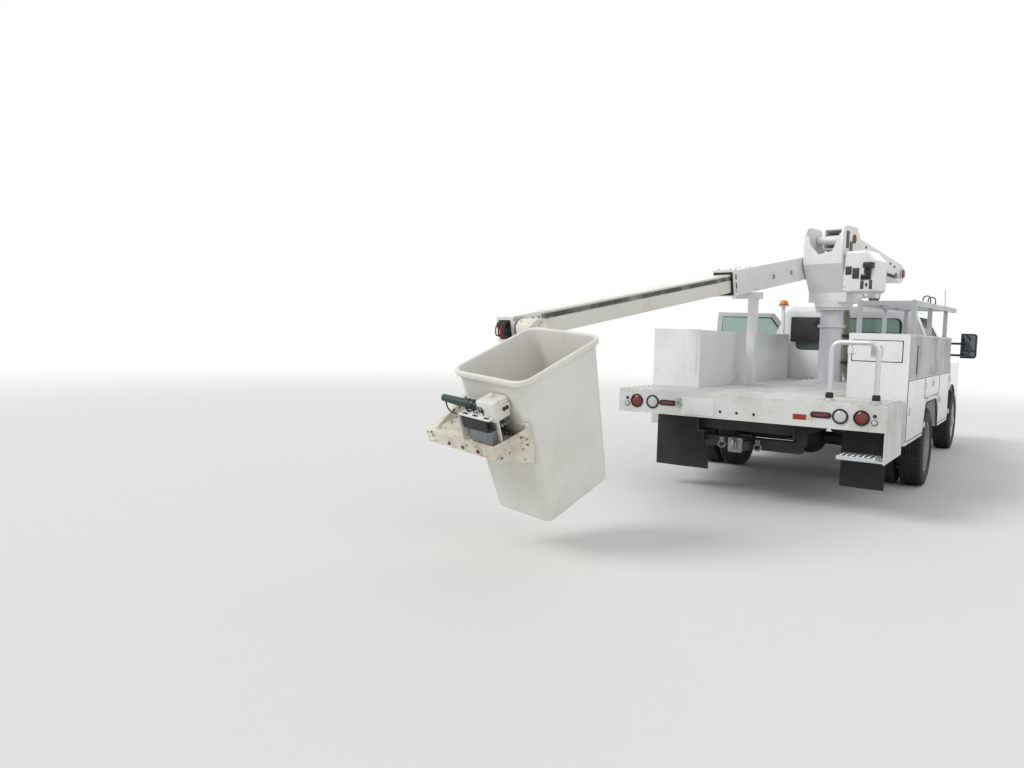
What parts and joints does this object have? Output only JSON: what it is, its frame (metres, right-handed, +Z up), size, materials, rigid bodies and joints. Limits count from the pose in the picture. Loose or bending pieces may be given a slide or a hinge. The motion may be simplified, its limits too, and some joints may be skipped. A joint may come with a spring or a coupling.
{
  "type": "aerial bucket truck",
  "caption": "Regular-cab utility truck with side cabinets and an articulating telescopic boom that carries a one-man bucket behind the tail",
  "frame": {"origin": "on the ground under the middle of the whole machine's box", "axes": "+X towards the front of the truck, +Y towards its left side, +Z up"},
  "size_m": [9.8534, 3.3687, 2.8],
  "materials": {
    "white_paint": "worn white enamel",
    "black_steel": "dirty black chassis paint",
    "bare_alu": "dull bare sheet",
    "rim_white": "dusty white paint",
    "tyre": "dusty tread",
    "glass": "clear",
    "black_plastic": "moulded",
    "flap_rubber": "dusty",
    "lamp_red": "moulded lenses",
    "grey_steel": "worn",
    "boom_white": "white enamel",
    "fibreglass": "weathered gel coat",
    "bucket_white": "gel coat",
    "rod_chrome": "polished",
    "seat_fabric": "woven",
    "engine_iron": "oily casting"
  },
  "bodies": {
    "truck": {"chassis_frame": "black_steel", "front_axle": "black_steel", "rear_axle": "black_steel", "engine_block": "engine_iron", "fuel_tank": "black_steel", "exhaust": "grey_steel", "body_floor": "white_paint", "cabinet_left": "white_paint", "cabinet_right": "white_paint", "lamps": "lamp_red", "grab_rail": "grey_steel", "mud_flaps": "flap_rubber", "cab_shell": "white_paint", "cab_glass": "glass", "front_wings": "white_paint", "grille": "black_plastic", "front_bumper": "grey_steel", "cab_interior": "seat_fabric", "boom_rest": "white_paint", "rack": "grey_steel", "pedestal": "boom_white"},
    "steer_arm_left": {"knuckle_left": "black_steel"},
    "steer_arm_right": {"knuckle_right": "black_steel"},
    "wheel_front_left": {"front_rim_left": "rim_white", "front_tyre_left": "tyre"},
    "wheel_front_right": {"front_rim_right": "rim_white", "front_tyre_right": "tyre"},
    "wheels_rear_left": {"rear_rims_left": "rim_white", "rear_tyres_left": "tyre"},
    "wheels_rear_right": {"rear_rims_right": "rim_white", "rear_tyres_right": "tyre"},
    "door_body_left": {"cab_door_left": "white_paint", "door_glass_left": "glass", "mirror_left": "black_plastic"},
    "door_body_right": {"cab_door_right": "white_paint", "door_glass_right": "glass", "mirror_right": "black_plastic"},
    "bonnet_body": {"bonnet": "white_paint"},
    "tail_door_body": {"tail_door": "bare_alu"},
    "turret_body": {"turret": "boom_white", "turret_cover": "boom_white"},
    "lower_boom_body": {"lower_boom": "boom_white"},
    "elbow_body": {"elbow": "boom_white"},
    "upper_boom_body": {"upper_boom": "boom_white"},
    "inner_boom_body": {"inner_boom": "fibreglass", "boom_tip": "boom_white"},
    "level_body": {"level_plate": "grey_steel"},
    "platform_body": {"platform_bracket": "boom_white", "controls": "black_plastic", "bucket": "bucket_white"},
    "lower_barrel_body": {"lower_lift_barrel": "boom_white"},
    "lower_rod_body": {"lower_lift_rod": "rod_chrome"},
    "upper_barrel_body": {"upper_lift_barrel": "boom_white"},
    "upper_rod_body": {"upper_lift_rod": "rod_chrome"},
    "rear_door_left_body": {"rear_door_left": "white_paint"},
    "rear_door_right_body": {"rear_door_right": "white_paint"},
    "over_door_left_body": {"over_door_left": "white_paint"},
    "over_door_right_body": {"over_door_right": "white_paint"},
    "front_door_left_body": {"front_door_left": "white_paint"},
    "front_door_right_body": {"front_door_right": "white_paint"}
  },
  "joints": [
    {"name": "steer_left", "type": "hinge", "parent": "truck", "child": "steer_arm_left", "pos_m": [3.945, 0.441, 0.405], "axis": [0, 0, 1], "range_deg": [-35, 35]},
    {"name": "wheel_left_spin", "type": "hinge", "parent": "steer_arm_left", "child": "wheel_front_left", "pos_m": [3.945, 0.616, 0.405], "axis": [0, 1, 0], "continuous": true},
    {"name": "rear_left_spin", "type": "hinge", "parent": "truck", "child": "wheels_rear_left", "pos_m": [0.365, 0.479, 0.405], "axis": [0, 1, 0], "continuous": true},
    {"name": "steer_right", "type": "hinge", "parent": "truck", "child": "steer_arm_right", "pos_m": [3.945, -1.109, 0.405], "axis": [0, 0, 1], "range_deg": [-35, 35]},
    {"name": "wheel_right_spin", "type": "hinge", "parent": "steer_arm_right", "child": "wheel_front_right", "pos_m": [3.945, -1.284, 0.405], "axis": [0, 1, 0], "continuous": true},
    {"name": "rear_right_spin", "type": "hinge", "parent": "truck", "child": "wheels_rear_right", "pos_m": [0.365, -1.147, 0.405], "axis": [0, 1, 0], "continuous": true},
    {"name": "door_left_swing", "type": "hinge", "parent": "truck", "child": "door_body_left", "pos_m": [3.232, 0.682, 1], "axis": [0, 0, 1], "range_deg": [-4, 63]},
    {"name": "door_right_swing", "type": "hinge", "parent": "truck", "child": "door_body_right", "pos_m": [3.232, -1.35, 1], "axis": [0, 0, 1], "range_deg": [0, 67]},
    {"name": "bonnet_lift", "type": "hinge", "parent": "truck", "child": "bonnet_body", "pos_m": [3.671, -0.334, 1.319], "axis": [0, -1, 0], "range_deg": [0, 50]},
    {"name": "rear_door_left_swing", "type": "hinge", "parent": "truck", "child": "rear_door_left_body", "pos_m": [-0.198, 0.868, 0.876], "axis": [0, 0, -1], "range_deg": [0, 90]},
    {"name": "rear_door_right_swing", "type": "hinge", "parent": "truck", "child": "rear_door_right_body", "pos_m": [-0.198, -1.536, 0.876], "axis": [0, 0, 1], "range_deg": [0, 90]},
    {"name": "over_door_left_swing", "type": "hinge", "parent": "truck", "child": "over_door_left_body", "pos_m": [0.365, 0.868, 0.938], "axis": [-1, 0, 0], "range_deg": [0, 90]},
    {"name": "over_door_right_swing", "type": "hinge", "parent": "truck", "child": "over_door_right_body", "pos_m": [0.365, -1.536, 0.938], "axis": [1, 0, 0], "range_deg": [0, 90]},
    {"name": "front_door_left_swing", "type": "hinge", "parent": "truck", "child": "front_door_left_body", "pos_m": [1.812, 0.868, 0.876], "axis": [0, 0, -1], "range_deg": [0, 90]},
    {"name": "front_door_right_swing", "type": "hinge", "parent": "truck", "child": "front_door_right_body", "pos_m": [1.812, -1.536, 0.876], "axis": [0, 0, 1], "range_deg": [0, 90]},
    {"name": "tail_door_swing", "type": "hinge", "parent": "truck", "child": "tail_door_body", "pos_m": [-1.268, -1.057, 1.395], "axis": [0, 0, -1], "range_deg": [0, 90]},
    {"name": "slew", "type": "hinge", "parent": "truck", "child": "turret_body", "pos_m": [1.165, -0.334, 1.93], "axis": [0, 0, 1], "continuous": true},
    {"name": "lower_boom_lift", "type": "hinge", "parent": "turret_body", "child": "lower_boom_body", "pos_m": [1.106, -0.32307, 2.665], "axis": [-0.1822, -0.9833, 0], "range_deg": [0, 80]},
    {"name": "elbow_level", "type": "hinge", "parent": "lower_boom_body", "child": "elbow_body", "pos_m": [2.93511, -0.66207, 2.40025], "axis": [-0.1822, -0.9833, 0], "range_deg": [-80, 0]},
    {"name": "upper_boom_lift", "type": "hinge", "parent": "elbow_body", "child": "upper_boom_body", "pos_m": [2.99926, -0.31596, 2.40025], "axis": [0.1822, 0.9833, 0], "range_deg": [0, 85]},
    {"name": "boom_extend", "type": "slide", "parent": "upper_boom_body", "child": "inner_boom_body", "axis": [-0.9686, 0.1795, -0.1723], "range_m": [-1.2, 0.8]},
    {"name": "platform_level", "type": "hinge", "parent": "inner_boom_body", "child": "level_body", "pos_m": [-3.72017, 0.92941, 1.49669], "axis": [0.1822, 0.9833, 0], "range_deg": [-85, 0]},
    {"name": "platform_tilt", "type": "hinge", "parent": "level_body", "child": "platform_body", "pos_m": [-3.72017, 0.92941, 1.49669], "axis": [-0.1822, -0.9833, 0], "range_deg": [-22, 60]},
    {"name": "lower_barrel_swing", "type": "hinge", "parent": "turret_body", "child": "lower_barrel_body", "pos_m": [1.106, -0.32307, 2.02], "axis": [-0.1822, -0.9833, 0], "range_deg": [0, 40.61]},
    {"name": "lower_rod_slide", "type": "slide", "parent": "lower_barrel_body", "child": "lower_rod_body", "axis": [0.8292, -0.1537, 0.5374], "range_m": [0, 0.5373]},
    {"name": "upper_barrel_swing", "type": "hinge", "parent": "elbow_body", "child": "upper_barrel_body", "pos_m": [2.8026, -0.27952, 2.15025], "axis": [0.1822, 0.9833, 0], "range_deg": [0, 81.01]},
    {"name": "upper_rod_slide", "type": "slide", "parent": "upper_barrel_body", "child": "upper_rod_body", "axis": [-0.9694, 0.1797, 0.1676], "range_m": [0, 0.4256]}
  ],
  "couplings": [
    {"joint": "steer_right", "follows": "steer_left", "ratio": 1},
    {"joint": "elbow_level", "follows": "lower_boom_lift", "ratio": -1},
    {"joint": "platform_level", "follows": "upper_boom_lift", "ratio": -1},
    {"joint": "lower_barrel_swing", "follows": "lower_boom_lift", "ratio": 0.50139},
    {"joint": "lower_rod_slide", "follows": "lower_boom_lift", "m_per_rad": 0.38407},
    {"joint": "upper_barrel_swing", "follows": "upper_boom_lift", "ratio": 0.94714},
    {"joint": "upper_rod_slide", "follows": "upper_boom_lift", "m_per_rad": 0.28622}
  ]
}
